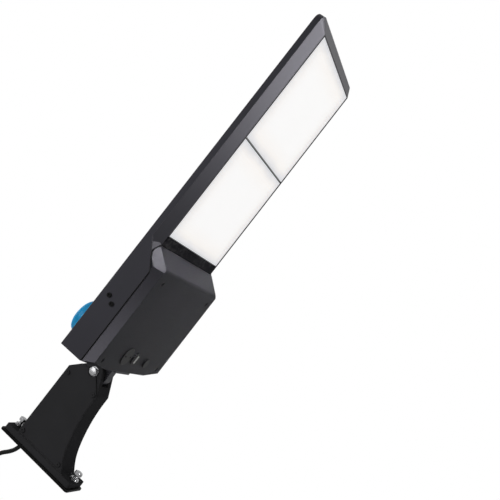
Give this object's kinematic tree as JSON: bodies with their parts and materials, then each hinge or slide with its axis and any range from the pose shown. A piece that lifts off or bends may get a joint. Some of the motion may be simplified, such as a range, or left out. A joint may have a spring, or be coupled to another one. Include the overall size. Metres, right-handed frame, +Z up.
{
  "type": "parking lot light",
  "caption": "Black pole-mounted LED area light: flat finned head with frosted lens panels, tilting knuckle on a flared arm, blue twist-lock photocontrol and a supply lead.",
  "frame": {"origin": "middle of the back plate's face that lies against the pole, midway between the mounting bolts", "axes": "+X from the pole out along the head, +Z up, +Y to the left of someone looking out from the pole"},
  "size_m": [0.9696, 0.3052, 0.1843],
  "materials": {
    "black_paint": "black powder coat",
    "black_steel": "black powder coat",
    "zinc_steel": "zinc plated",
    "bare_aluminium": "satin",
    "rubber": "matt",
    "black_plastic": "matt",
    "white_plastic": "matt",
    "frosted_lens": "frosted",
    "blue_plastic": "translucent",
    "board": "white mask",
    "chip": "phosphor",
    "brass": "bare",
    "lead_jacket": "matt",
    "core_sleeve": "matt"
  },
  "bodies": {
    "arm": {"back_plate": "black_steel", "foot_gasket": "rubber", "mounting_bolts": "zinc_steel", "flat_washers": "zinc_steel", "spring_washers": "zinc_steel", "arm_casting": "black_paint", "arm_cover": "black_paint", "arm_cover_screws": "black_steel", "pivot_bolt": "zinc_steel", "pivot_washers": "zinc_steel", "pivot_nut": "zinc_steel", "lead_grommet": "rubber", "arm_grommet": "rubber", "arm_lead": "lead_jacket", "power_lead": "lead_jacket", "lead_cores": "core_sleeve"},
    "head": {"tilt_hub": "black_paint", "hub_screws": "black_steel", "head_grommet": "rubber", "housing": "black_paint", "driver_cover": "black_paint", "cover_gasket": "rubber", "cover_screws": "black_steel", "lens_rear": "frosted_lens", "lens_front": "frosted_lens", "lens_gasket_rear": "rubber", "lens_gasket_front": "rubber", "led_board_rear": "board", "led_board_front": "board", "led_chips_rear": "chip", "led_chips_front": "chip", "board_screws": "zinc_steel", "driver_tray": "zinc_steel", "led_driver": "bare_aluminium", "driver_screws": "zinc_steel", "tray_screws": "black_steel", "surge_protector": "black_plastic", "terminal_block": "white_plastic", "supply_lead": "lead_jacket", "mains_leads": "core_sleeve", "led_leads": "lead_jacket", "sensor_port_cap": "black_plastic", "selector_switch": "black_plastic", "breather_vent": "black_plastic", "photocell_socket": "black_plastic", "socket_gasket": "rubber", "socket_screws": "zinc_steel", "rating_plate": "bare_aluminium"},
    "photocontrol": {"photocell_cover": "blue_plastic", "photocell_base": "black_plastic", "photocell_blades": "brass", "photocell_board": "board", "photocell_relay": "white_plastic", "photocell_sensor": "black_plastic"},
    "selector": {"selector_knob": "black_plastic", "selector_pointer": "white_plastic"}
  },
  "joints": [
    {"name": "head_tilt", "type": "hinge", "parent": "arm", "child": "head", "pos_m": [0.1775, 0, 0.012], "axis": [0, -1, 0], "range_deg": [-60, 35]},
    {"name": "photocontrol_twist", "type": "hinge", "parent": "head", "child": "photocontrol", "pos_m": [0.2325, 0, 0.0473], "axis": [0, 0, 1], "range_deg": [0, 35]},
    {"name": "selector_turn", "type": "hinge", "parent": "head", "child": "selector", "pos_m": [0.2354, -0.0068, -0.0283], "axis": [0, 0, -1], "range_deg": [-45, 45]}
  ]
}
